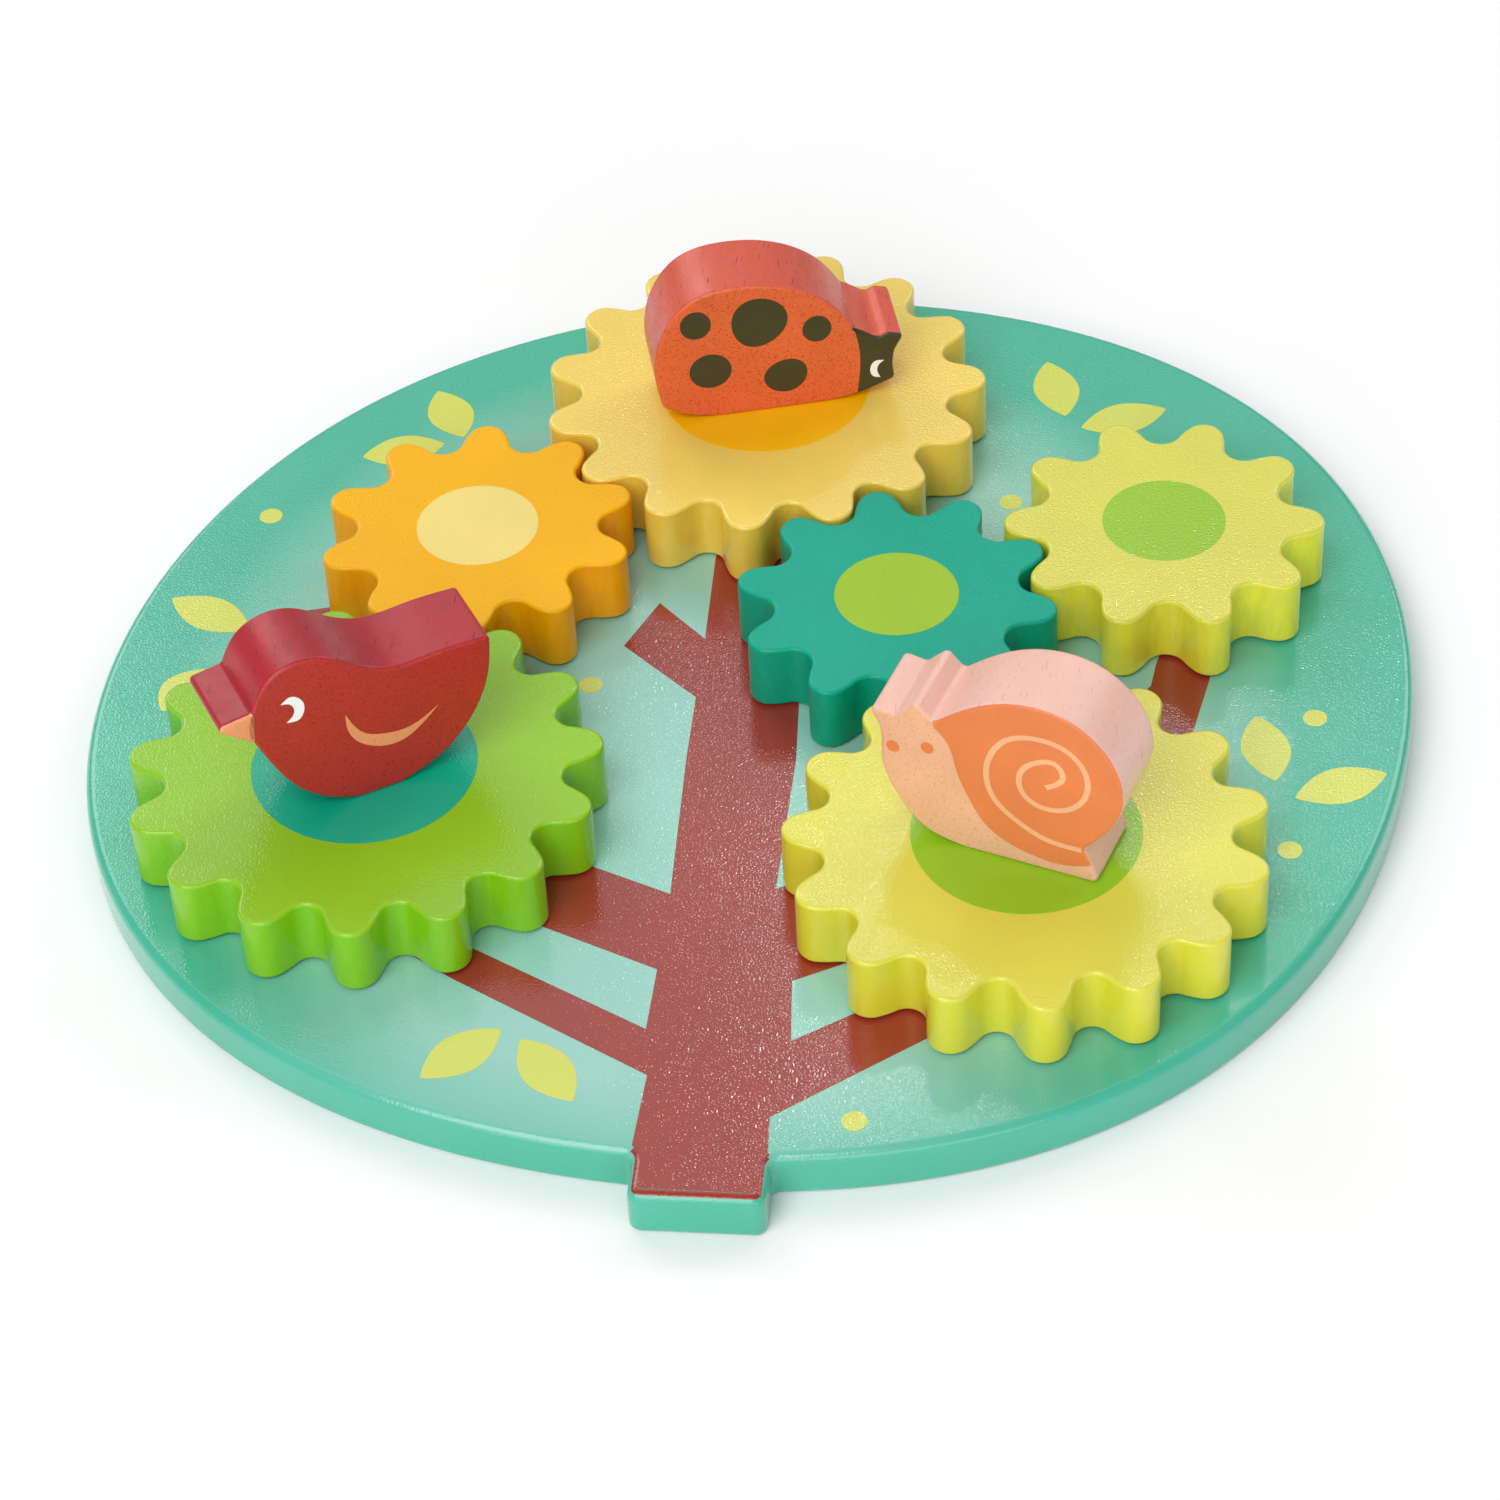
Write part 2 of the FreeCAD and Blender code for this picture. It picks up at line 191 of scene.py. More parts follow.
def joined(stretches, radii):
    """Closed outline from stretches that meet end to end, each sharp corner struck to its radius.

    Both sides of a corner lose the radius times the tangent of half its turn.
    """
    count = len(stretches)
    trimmed = [stretch.copy() for stretch in stretches]
    fillets = []
    for k in range(count):
        here, following = trimmed[k], trimmed[(k + 1) % count]
        corner = stretches[k][-1]
        leave = stretches[k][-1] - stretches[k][-2]
        enter = stretches[(k + 1) % count][1] - stretches[(k + 1) % count][0]
        turn = abs(np.angle(enter / leave))
        if math.degrees(turn) < CORNER_TURN:
            trimmed[k] = here[:-1]
            fillets.append(np.zeros(0, complex))
            continue
        setback = radii[k] * math.tan(turn / 2)
        here = here[np.abs(here - corner) > setback]
        following = following[np.abs(following - corner) > setback]
        trimmed[k], trimmed[(k + 1) % count] = here, following
        before = corner - leave / abs(leave) * setback
        after = corner + enter / abs(enter) * setback
        fillets.append(rounded_corner(before, corner, after, turn))
    return np.concatenate([part for pair in zip(trimmed, fillets) for part in pair])


def outward(outline):
    """Unit normals of a closed outline that runs anticlockwise.

    Each is the line between a point's two neighbours, turned a quarter clockwise.
    """
    along = np.roll(outline, -1) - np.roll(outline, 1)
    return -1j * along / np.abs(along)


def nearest(outline, point):
    """Place in the outline of its point nearest to the given one."""
    return int(np.argmin(np.abs(outline - complex(*point))))


# Meshes


def stacked(rings):
    """Vertices and faces of a solid from rings of (outline, height), capped at both ends.

    The walls are quads between neighbouring rings, and each cap is one flat face.
    """
    count = len(rings[0][0])
    flat = np.concatenate([ring for ring, _ in rings])
    height = np.concatenate([np.broadcast_to(np.asarray(z, float), count) for _, z in rings])
    vertices = np.stack((flat.real, flat.imag, height), axis=1)
    here = np.arange(count)
    beside = np.roll(here, -1)
    walls = [
        np.stack((here, beside, beside + count, here + count), axis=1) + level * count
        for level in range(len(rings) - 1)
    ]
    faces = np.concatenate(walls).tolist()
    faces.append(here[::-1].tolist())
    faces.append((here + count * (len(rings) - 1)).tolist())
    return vertices, faces


def rounded_slab(outline, low, high, low_round, high_round):
    """Outline carried up from low to high, its rims rounded by quarter circles.

    At an angle round a rim, the outline is drawn in by the rounding times one less the sine, and
    lies off the slab's end by the rounding times one less the cosine.
    """
    normals = outward(outline)
    quarter = np.linspace(0, np.pi / 2, ROUND_STEPS)
    rims = [(angle, low_round, low, 1) for angle in quarter]
    rims += [(angle, high_round, high, -1) for angle in quarter[::-1]]
    rings = []
    for angle, rounding, end, inwards in rims:
        inset = rounding * (1 - np.sin(angle))
        rings.append((outline - normals * inset, end + inwards * rounding * (1 - np.cos(angle))))
    return stacked(rings)


def thin_film(outline, surface):
    """Flat layer of paint with the given outline, a little above and below its surface."""
    return stacked([(outline, surface - FILM), (outline, surface + FILM)])


def new_piece(name, vertices, faces, materials, material_index=None):
    """Mesh object at the origin, its vertices given in millimetres."""
    mesh = bpy.data.meshes.new(name)
    mesh.from_pydata((np.asarray(vertices) * MM).tolist(), [], faces)
    for material in materials:
        mesh.materials.append(material)
    if material_index is not None:
        mesh.polygons.foreach_set("material_index", np.asarray(material_index, np.int32))
    mesh.update()
    piece = bpy.data.objects.new(name, mesh)
    bpy.context.scene.collection.objects.link(piece)
    return piece


def with_modifiers_applied(piece):
    """The piece with its modifiers' result as its mesh."""
    graph = bpy.context.evaluated_depsgraph_get()
    mesh = bpy.data.meshes.new_from_object(piece.evaluated_get(graph))
    piece.modifiers.clear()
    piece.data = mesh
    return piece


def drilled(piece, holes):
    """Round holes (centre, diameter, low, high) cut from a solid."""
    for centre, diameter, low, high in holes:
        rim = circle(diameter / 2, centre, HOLE_SIDES)
        cutter = new_piece("cutter", *stacked([(rim, low), (rim, high)]), [])
        cut = piece.modifiers.new("hole", "BOOLEAN")
        cut.operation = "DIFFERENCE"
        cut.object = cutter
        bpy.context.view_layer.update()
        with_modifiers_applied(piece)
        bpy.data.objects.remove(cutter)
    return piece


def softly_shaded(piece):
    """Smooth shading with the normals of the broad faces, sharp only at square edges."""
    mesh = piece.data
    mesh.polygons.foreach_set("use_smooth", np.ones(len(mesh.polygons), bool))
    mesh.set_sharp_from_angle(angle=math.radians(SHARP_EDGE))
    weighted = piece.modifiers.new("broad faces", "WEIGHTED_NORMAL")
    weighted.keep_sharp = True
    weighted.weight = 100
    return with_modifiers_applied(piece)


# Colours


def srgb(red, green, blue):
    """Linear colour from 0 to 255 display values."""
    display = np.array((red, green, blue)) / 255
    linear = np.where(display <= 0.04045, display / 12.92, ((display + 0.055) / 1.055) ** 2.4)
    return (*linear.tolist(), 1.0)


def shade(colour, factor):
    """The colour times a factor, each channel 1 at most."""
    return (*(min(1.0, channel * factor) for channel in colour[:3]), 1.0)


def deeper(colour, amount):
    """The colour with its weaker channels weakened further.

    Each channel is times its share of the strongest, raised to the amount.
    """
    strongest = max(colour[:3])
    return (*(channel * (channel / strongest) ** amount for channel in colour[:3]), 1.0)


BARK = srgb(151, 48, 38)
FOLIAGE = srgb(207, 213, 90)
EYE_WHITE = srgb(250, 248, 247)
# Pairs lie at the two ends of a finish's clouds or grain.
BOARD_PALE = (srgb(144, 202, 188), srgb(151, 206, 194))
BOARD_DEEP = (srgb(64, 176, 146), srgb(72, 181, 153))
BEECH = (srgb(205, 165, 120), srgb(232, 203, 162))
ZINC = (srgb(176, 178, 184), srgb(205, 207, 212))
FLOOR_WHITE = (srgb(246, 246, 246), srgb(250, 250, 250))
# Each wheel's material slot, its body and its disc
WHEEL_PAINT = {
    "ladybird_gear": ("yellow_paint", srgb(236, 208, 96), srgb(246, 190, 2)),
    "orange_gear": ("orange_paint", srgb(242, 178, 1), srgb(238, 216, 126)),
    "teal_gear": ("teal_paint", srgb(4, 164, 138), srgb(156, 194, 44)),
    "bird_gear": ("green_paint", srgb(139, 192, 30), srgb(2, 170, 134)),
    "lime_gear": ("lime_paint", srgb(212, 210, 80), srgb(146, 193, 22)),
    "snail_gear": ("citron_paint", srgb(216, 213, 74), srgb(142, 195, 22)),
}
# Where a wheel's lacquer is not the usual one; the side factor paints light or shade on the wheel's
# sides
WHEEL_LACQUER = {
    "orange_gear": {"relief": 0.07, "coat": 0.25},
    "teal_gear": {"painted_side_light": 0.85, "coat": 0.2},
    "bird_gear": {"coat": 0.7},
    "lime_gear": {"painted_side_light": 1.25},
}
# Each figure's stain: dark bands, light bands and pores
STAIN = {
    "ladybird": (srgb(198, 66, 40), srgb(216, 88, 60), srgb(150, 44, 30)),
    "bird": (srgb(150, 14, 27), srgb(177, 27, 41), srgb(98, 11, 21)),
    "snail": (srgb(232, 178, 160), srgb(241, 195, 180), srgb(222, 165, 146)),
}
# Paint on the figures' broad faces, and how dark the pores show through it
FACE_PAINT = {
    "ladybird_red": (srgb(226, 100, 54), 0.72),
    "ladybird_black": (srgb(56, 53, 30), 0.85),
    "bird_red": (srgb(182, 36, 32), 0.72),
    "bird_peach": (srgb(238, 152, 104), 0.9),
    "snail_skin": (srgb(234, 177, 142), 0.87),
    "snail_shell": (srgb(226, 125, 72), 0.97),
    "snail_line": (srgb(238, 176, 132), 0.95),
}


# Materials

# Noise is read over the middle of its range, where most of its values lie.
NOISE_RANGE = (0.3, 0.7)
# Upright share of a surface's normal, from where a wall ends to where a top begins
SLOPE_RANGE = (0.3, 0.7)
# The board's pale print: middle and half sizes of its oval, and where its edge fades
PALE_MIDDLE = (-6.0, -15.0)
PALE_HALF_SIZES = (110.0, 120.0)
PALE_FADE = (0.86, 1.12)
BOARD_RELIEF = 0.042
BOARD_COAT = 1.0
# Coordinates are shrunk by this along a figure's fibres, so that patterns come out long there.
FIBRE_SHRINK = 0.09
# Span of the noise over which a pore's edge fades
PORE_EDGE = 0.08
# How far the enamel's weaker channels are weakened on a wheel's sides, as painted bounce light
PAINTED_BOUNCE_DEPTH = 0.4


class Finish:
    """Node tree of one material, with a principled shader."""

    def __init__(self, name):
        self.material = bpy.data.materials.new(name)
        self.material.use_nodes = True
        self.nodes = self.material.node_tree.nodes
        self.links = self.material.node_tree.links
        self.shader = next(n for n in self.nodes if n.type == "BSDF_PRINCIPLED")
        self.place = self.nodes.new("ShaderNodeTexCoord").outputs["Object"]

    def put(self, socket, value):
        """A number or colour set on the socket, an output linked to it."""
        if isinstance(value, (float, tuple)):
            socket.default_value = value
        else:
            self.links.new(value, socket)

    def new(self, kind, **values):
        """Node of a kind, with its named sockets set or linked."""
        node = self.nodes.new("ShaderNode" + kind)
        for name, value in values.items():
            self.put(node.inputs[name.replace("_", " ")], value)
        return node

    def surface(self, **values):
        """The finished material, with its shader's named sockets set or linked."""
        for name, value in values.items():
            self.put(self.shader.inputs[name.replace("_", " ")], value)
        return self.material

    def mapped(self, rotation=(0, 0, 0), scale=(1, 1, 1), location=(0, 0, 0)):
        """Object coordinates turned, stretched and moved."""
        node = self.new(
            "Mapping", Vector=self.place, Rotation=rotation, Scale=scale, Location=location
        )
        return node.outputs["Vector"]

    def noise(self, size, detail=2.0, vector=None):
        """Noise whose features are about size millimetres."""
        place = vector or self.place
        node = self.new("TexNoise", Vector=place, Scale=1 / (size * MM), Detail=detail)
        return node.outputs["Fac"]

    def ramp(self, value, low, high, out_low=0.0, out_high=1.0):
        """Value from low to high carried to out_low to out_high, clamped."""
        node = self.new(
            "MapRange", Value=value, From_Min=low, From_Max=high, To_Min=out_low, To_Max=out_high
        )
        return node.outputs["Result"]

    def patches(self, size, detail=2.0, vector=None, low=0.0, high=1.0):
        """Noise spread from low to high."""
        return self.ramp(self.noise(size, detail, vector), *NOISE_RANGE, low, high)

    def mix(self, factor, first, second):
        """Colour between two colours or colour outputs."""
        node = self.new("Mix", Factor=factor)
        node.data_type = "RGBA"
        sockets = [socket for socket in node.inputs if socket.type == "RGBA"]
        for socket, value in zip(sockets, (first, second)):
            self.put(socket, value)
        return next(socket for socket in node.outputs if socket.type == "RGBA")

    def clouded(self, colour, size, darker, lighter):
        """The colour in clouds, a little darker and a little lighter."""
        return self.mix(self.patches(size), shade(colour, darker), shade(colour, lighter))

    def bump(self, pattern, strength, height, below=None):
        """Relief of height millimetres, over another where one lies below."""
        node = self.new("Bump", Height=pattern, Strength=strength, Distance=height * MM)
        if below is not None:
            self.put(node.inputs["Normal"], below)
        return node.outputs["Normal"]

    def distance_in_oval(self, centre, half_sizes):
        """Distance from an upright line, 1 on an upright oval wall; all in millimetres."""
        (x, y), (across, up) = centre, half_sizes
        scale = (1 / (across * MM), 1 / (up * MM), 0)
        length = self.new("VectorMath")
        length.operation = "LENGTH"
        self.put(length.inputs[0], self.mapped(scale=scale, location=(-x / across, -y / up, 0)))
        return length.outputs["Value"]

    def by_slope(self, upright, level):
        """One value where the surface is upright, the other where it is level."""
        normal = self.new("NewGeometry").outputs["Normal"]
        rise = self.new("SeparateXYZ", Vector=normal).outputs["Z"]
        blend = self.new("Mix", Factor=self.ramp(rise, *SLOPE_RANGE), A=upright, B=level)
        return blend.outputs["Result"]


def lacquered(finish, colour, relief, coat):
    """Clear gloss over waves left by sanding and the fine pebbles of spray."""
    sanded = finish.bump(finish.noise(20.0, detail=1.0), strength=1.0, height=0.03)
    pebbles = finish.bump(finish.noise(0.5, detail=0.0), strength=1.0, height=relief, below=sanded)
    return finish.surface(
        Base_Color=colour,
        Normal=pebbles,
        Coat_Normal=pebbles,
        Roughness=finish.patches(2.5, low=0.36, high=0.46),
        Coat_Weight=coat,
        Coat_Roughness=0.05,
        Specular_IOR_Level=0.15,
    )


def enamel(name, colour, painted_side_light=1.0, relief=0.05, coat=0.9):
    """Sprayed enamel on wood, streaked down the sides; there its colour is deepened as painted
    bounce light and lightened or darkened as painted side light.
    """
    finish = Finish(name)
    top = finish.clouded(colour, size=22.0, darker=0.97, lighter=1.03)
    # Painted light: the sides' colour is deepened for bounce light and scaled lighter or darker for
    # the light they catch
    side = shade(deeper(colour, PAINTED_BOUNCE_DEPTH), painted_side_light)
    streaks = finish.patches(1.4, detail=3.0, vector=finish.mapped(scale=(1, 1, 0.28)), high=0.55)
    return lacquered(finish, finish.mix(finish.by_slope(streaks, 1.0), side, top), relief, coat)


def print_ink(name, colour):
    """Ink printed on the board, under the same lacquer."""
    finish = Finish(name)
    ink = finish.clouded(colour, size=18.0, darker=0.97, lighter=1.03)
    return lacquered(finish, ink, BOARD_RELIEF, BOARD_COAT)


def board_enamel(name):
    """Green lacquer, its top printed paler towards the trunk."""
    finish = Finish(name)
    fade = finish.ramp(finish.distance_in_oval(PALE_MIDDLE, PALE_HALF_SIZES), *PALE_FADE)
    cloud = finish.patches(30.0)
    pale = finish.mix(cloud, *BOARD_PALE)
    deep = finish.mix(cloud, *BOARD_DEEP)
    green = finish.mix(finish.by_slope(1.0, fade), pale, deep)
    return lacquered(finish, green, BOARD_RELIEF, BOARD_COAT)


def wood_fibres(finish, figure):
    """Coordinates in which fibres that run through a figure's thickness are long."""
    turn = math.radians(-FIGURE_DIRECTION[figure])
    return finish.mapped(rotation=(0, 0, turn), scale=(1, FIBRE_SHRINK, 1))


def pores(finish, fibres, size, share):
    """Open pores, 0 inside and 1 outside: spots across the fibre, short dashes along it."""
    return finish.ramp(finish.noise(size, detail=1.0, vector=fibres), share, share + PORE_EDGE)


def stained_wood(figure):
    """Stained beech: bands and streaks along the fibre, with darker pores."""
    dark, light, pore = STAIN[figure]
    finish = Finish(figure + "_stain")
    fibres = wood_fibres(finish, figure)
    bands = finish.mix(finish.patches(9.0, vector=fibres), dark, light)
    streaks = finish.ramp(finish.noise(1.4, detail=3.0, vector=fibres), 0.35, 0.65, 0.0, 0.6)
    wood = finish.mix(streaks, bands, shade(light, 0.93))
    open_pores = pores(finish, fibres, size=0.42, share=0.27)
    return finish.surface(
        Base_Color=finish.mix(open_pores, pore, wood),
        Roughness=finish.patches(3.0, low=0.38, high=0.5),
        Normal=finish.bump(open_pores, strength=0.5, height=0.06),
        Coat_Weight=0.2,
        Coat_Roughness=0.25,
    )


def face_paint(figure, name):
    """Thin paint on a figure's broad face, through which the pores show as dots."""
    colour, pore_shade = FACE_PAINT[f"{figure}_{name}"]
    finish = Finish(f"{figure}_{name}")
    pore = deeper(shade(colour, pore_shade), 1 - pore_shade)
    paint = finish.clouded(colour, size=12.0, darker=0.94, lighter=1.05)
    open_pores = pores(finish, wood_fibres(finish, figure), size=0.45, share=0.34)
    return finish.surface(
        Base_Color=finish.mix(open_pores, pore, paint),
        Roughness=finish.patches(3.0, low=0.4, high=0.52),
        Normal=finish.bump(open_pores, strength=0.4, height=0.05),
        Coat_Weight=0.2,
        Coat_Roughness=0.25,
    )


def bare_beech(name):
    """Unpainted beech dowel, its fibres upright."""
    finish = Finish(name)
    grain = finish.patches(1.2, detail=3.0, vector=finish.mapped(scale=(1, 1, 0.08)))
    return finish.surface(
        Base_Color=finish.mix(grain, *BEECH),
        Normal=finish.bump(grain, strength=0.3, height=0.05),
        Roughness=0.6,
    )


def zinc_steel(name):
    """Bright zinc plating with fine turning marks."""
    finish = Finish(name)
    marks = finish.patches(0.5, detail=3.0, vector=finish.mapped(scale=(1, 1, 12)))
    return finish.surface(
        Base_Color=finish.mix(marks, *ZINC),
        Roughness=finish.patches(1.5, low=0.24, high=0.4),
        Normal=finish.bump(marks, strength=0.2, height=0.02),
        Metallic=1.0,
    )


# Board

# The tree's foot is printed over the board's rim: rows of the rounding, its top and its sides.
FOOT_PRINT_ROWS = 2
FOOT_PRINT_TOP = -133.0
FOOT_PRINT_SIDES = (-13.1, 14.1)
# Corners of the printed tree, in order
TREE_CORNERS = (
    (-10.75, -145.1), (12.35, -145.1), (12.35, -137.6), (12.7, -135.95), (13.4, -134.9),
    (13.9, -134.4), (13.5, -125.1), (37.9, -106.3), (70.0, -82.0), (62.0, -72.0), (28.2, -96.1),
    (15.9, -104.5), (14.7, -87.8), (25.3, -82.2), (62.0, -52.0), (88.9, -10.5), (94.0, -10.8),
    (97.3, 6.4), (99.0, 20.0), (88.0, 22.0), (85.7, 11.1), (84.8, 4.3), (56.0, -38.0),
    (9.1, -61.6), (10.0, -22.6), (6.0, 60.0), (-2.0, 66.0), (-13.6, 42.9), (-13.3, 15.1),
    (-24.5, 26.5), (-30.9, 12.0), (-13.4, -3.8), (-13.5, -23.7), (-12.7, -64.2), (-30.1, -56.8),
    (-70.0, -34.0), (-97.0, 12.0), (-97.4, 22.0), (-105.0, 20.0), (-82.0, -44.0), (-37.8, -75.1),
    (-13.1, -85.9), (-13.6, -102.7), (-52.3, -81.6), (-74.0, -66.0), (-80.0, -74.0),
    (-55.0, -90.6), (-12.0, -115.2), (-13.0, -134.1), (-12.4, -134.5), (-11.9, -134.95),
    (-11.1, -136.0), (-10.75, -137.6),
)
LEAF_TIPS = (
    ((-134.1, 23.3), (-114.7, 13.5)), ((-129.7, -13.7), (-122.0, 0.3)),
    ((-84.6, 99.0), (-76.2, 82.4)), ((-98.7, 74.2), (-80.3, 79.7)),
    ((57.4, 115.5), (62.6, 95.7)), ((66.3, 91.5), (85.6, 99.2)),
    ((107.5, -4.2), (111.9, -24.2)), ((116.0, -29.2), (135.2, -20.7)),
    ((-57.4, -118.4), (-42.9, -104.2)), ((-38.5, -106.8), (-26.0, -123.0)),
)
LEAF_WIDTH = 10.5
LEAF_FULLNESS = 0.85
LEAF_STEPS = 24
DOTS = ((-116.5, 52.4), (-36.7, -1.0), (51.5, 64.4), (120.1, -4.3), (115.0, -44.9), (30.2, -125.3))
DOT_RADIUS = 2.6
DOT_SIDES = 40


def crown_radius(degrees):
    """Mean radius, swollen by a cosine wave for each set of lobes."""
    swell = sum(s * np.cos(np.radians(k * (degrees - d))) for k, s, d in CROWN_LOBES)
    return CROWN_RADIUS * (1 + swell)


def board_outline():
    """Crown, then the trunk's left side, foot and right side, corners rounded."""
    degrees = np.linspace(-90, 270, CROWN_STEPS)
    crown = crown_radius(degrees) * direction(degrees)
    left = TRUNK_OFFSET - TRUNK_WIDTH / 2
    right = TRUNK_OFFSET + TRUNK_WIDTH / 2
    below = crown.imag < 0
    keep = ~(below & (crown.real > left) & (crown.real < right))
    lower = np.sort_complex(crown[below])
    left_height, right_height = np.interp((left, right), lower.real, lower.imag)
    left_crotch, right_crotch = complex(left, left_height), complex(right, right_height)
    foot_end = -(crown_radius(270.0) + TRUNK_FOOT_REACH)
    left_foot, right_foot = complex(left, foot_end), complex(right, foot_end)
    stretches = [
        np.concatenate(([right_crotch], crown[keep], [left_crotch])),
        straight(left_crotch, left_foot),
        straight(left_foot, right_foot),
        straight(right_foot, right_crotch),
    ]
    radii = [TRUNK_CROTCH_ROUND, TRUNK_CORNER_ROUND, TRUNK_CORNER_ROUND, TRUNK_CROTCH_ROUND]
    return joined(stretches, radii)


def foot_print(outline):
    """For each face of the board's slab, 1 where the tree's foot is printed on it and 0 elsewhere.

    The print covers the topmost rows of the rounded rim. A face is on it when the middle of its
    row, at the face's place along the outline, lies below the print's top and between its sides.
    """
    angles = (np.arange(FOOT_PRINT_ROWS)[::-1, None] + 0.5) / (ROUND_STEPS - 1) * np.pi / 2
    middle = outline - outward(outline) * BOARD_TOP_ROUND * (1 - np.sin(angles))
    left, right = FOOT_PRINT_SIDES
    rows = 2 * ROUND_STEPS - 1
    printed = np.zeros((rows, len(outline)), int)
    printed[rows - FOOT_PRINT_ROWS :] = (
        (middle.imag < FOOT_PRINT_TOP) & (middle.real > left) & (middle.real < right)
    )
    return np.append(printed.ravel(), (0, 0))


def make_board(centres, green, bark):
    """Board with its pockets and axle holes; returns the height of its top."""
    low, high = (corner.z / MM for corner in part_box("board"))
    outline = board_outline()
    vertices, faces = rounded_slab(outline, low, high, BOARD_UNDER_ROUND, BOARD_TOP_ROUND)
    board = new_piece("painted_board", vertices, faces, [green, bark], foot_print(outline))
    ceiling = low + POCKET_DEPTH
    for centre in centres.values():
        pocket = (centre, POCKET_DIAMETER, low - HOLE_OVERRUN, ceiling)
        axle_hole = (centre, AXLE_HOLE_DIAMETER, ceiling - HOLE_OVERRUN, high + HOLE_OVERRUN)
        drilled(board, [pocket, axle_hole])
    softly_shaded(board)
    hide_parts("board")
    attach(board, "base")
    return high


def leaf(tips):
    """Pointed oval, on both sides of the line between its tips.

    Its half width is the leaf's times the sine of the way along, raised to the fullness.
    """
    start, end = complex(*tips[0]), complex(*tips[1])
    along = np.linspace(0, 1, LEAF_STEPS)
    axis = start + (end - start) * along
    swell = np.sin(np.pi * along) ** LEAF_FULLNESS
    side = 1j * (end - start) / abs(end - start) * LEAF_WIDTH / 2 * swell
    return np.concatenate((axis - side, (axis + side)[-2:0:-1]))


def make_board_print(surface, bark, foliage):
    """Tree, leaves and dots as films on the board's top."""
    films = [("tree_print", np.array([complex(*corner) for corner in TREE_CORNERS]), bark)]
    for number, tips in enumerate(LEAF_TIPS):
        films.append((f"leaf_print_{number + 1}", leaf(tips), foliage))
    for number, dot in enumerate(DOTS):
        outline = circle(DOT_RADIUS, complex(*dot), DOT_SIDES)
        films.append((f"dot_print_{number + 1}", outline, foliage))
    for name, outline, material in films:
        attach(new_piece(name, *thin_film(outline, surface), [material]), "base")


# Wheels


def tooth_outline(teeth, first_angle):
    """Closed outline of a toothed wheel about the origin.

    Half a tooth is three arcs that touch: the tip, the flank, struck about the point where the
    line of action leaves the base circle, and the root. Its mirror image makes the other half.
    """
    pitch = MODULE * teeth / 2
    tip_radius = pitch + TIP_HEIGHT[teeth]
    root_radius = pitch - ROOT_DEPTH[teeth]
    pressure = math.radians(PRESSURE_ANGLE)
    flank_radius = pitch * math.sin(pressure)
    flank_angle = TOOTH_SHARE * 180 / teeth - PRESSURE_ANGLE
    flank_centre = pitch * math.cos(pressure) * direction(flank_angle)
    gap = direction(180 / teeth)

    def touching(towards, end_radius):
        """Centre, in a direction, of the arc that ends at end_radius and touches the flank.

        Its own radius is end_radius less its distance from the axis, below nought for a hollow,
        and its distance from the flank's centre is the flank's radius less its own.
        """
        reach = flank_radius - end_radius
        along = (flank_centre * np.conj(towards)).real
        return towards * (abs(flank_centre) ** 2 - reach**2) / (2 * (along + reach))

    def on_flank(target):
        """Point of the flank in the target's direction from the flank's centre."""
        return flank_centre + (target - flank_centre) / abs(target - flank_centre) * flank_radius

    tip_centre = touching(1.0 + 0j, tip_radius)
    root_centre = touching(gap, root_radius)
    flank_start, flank_end = on_flank(tip_centre), on_flank(root_centre)
    half = np.concatenate((
        arc(tip_centre, complex(tip_radius), flank_start, TIP_STEPS),
        arc(flank_centre, flank_start, flank_end, FLANK_STEPS),
        arc(root_centre, flank_end, gap * root_radius, ROOT_STEPS),
    ))
    tooth = np.concatenate((half, [gap * root_radius], np.conj(half[:0:-1]) * gap**2))
    turns = direction(first_angle + 360 * np.arange(teeth) / teeth)
    return (turns[:, None] * tooth[None, :]).ravel()


def wheel_centres():
    """Each wheel's axis in millimetres, from its joint."""
    return {
        joint["name"].replace("_spin", "_gear"): complex(*joint["pos_m"][:2]) / MM
        for joint in frame["joints"]
    }


def tooth_angles(centres):
    """Tooth angle of each wheel: a tooth of one faces a gap of the other at every mesh.

    On both wheels, the angle from a tooth to the line of centres is taken times the teeth, and
    the two add up to half a turn.
    """
    angles = {FIRST_WHEEL: FIRST_TOOTH_ANGLE}
    for name, driver in DRIVERS.items():
        line = math.degrees(np.angle(centres[name] - centres[driver]))
        driver_part = TEETH[driver] * (line - angles[driver])
        angles[name] = line + 180 - (180 - driver_part) / TEETH[name]
    return angles


def make_wheel(name, centre, angle):
    """Toothed wheel with its axle's bore, and the disc printed on its top."""
    slot_name, body_colour, disc_colour = WHEEL_PAINT[name]
    lacquer = WHEEL_LACQUER.get(name, {})
    low, high = (corner.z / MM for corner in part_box(name))
    teeth = TEETH[name]
    outline = centre + tooth_outline(teeth, angle)
    vertices, faces = rounded_slab(outline, low, high, WHEEL_EDGE_ROUND, WHEEL_EDGE_ROUND)
    paint = enamel(slot_name, body_colour, **lacquer)
    wheel = new_piece("painted_" + name, vertices, faces, [paint])
    bore = (centre, AXLE_HOLE_DIAMETER, low - HOLE_OVERRUN, low + AXLE_DEPTH_IN_WHEEL)
    softly_shaded(drilled(wheel, [bore]))
    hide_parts(name)
    body = name.replace("_gear", "_wheel")
    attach(wheel, body)
    disc = thin_film(circle(DISC_RADIUS[teeth], centre), high)
    disc_paint = enamel(slot_name + "_disc", disc_colour, **lacquer)
    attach(new_piece("disc_print_" + name, *disc, [disc_paint]), body)


# Figures

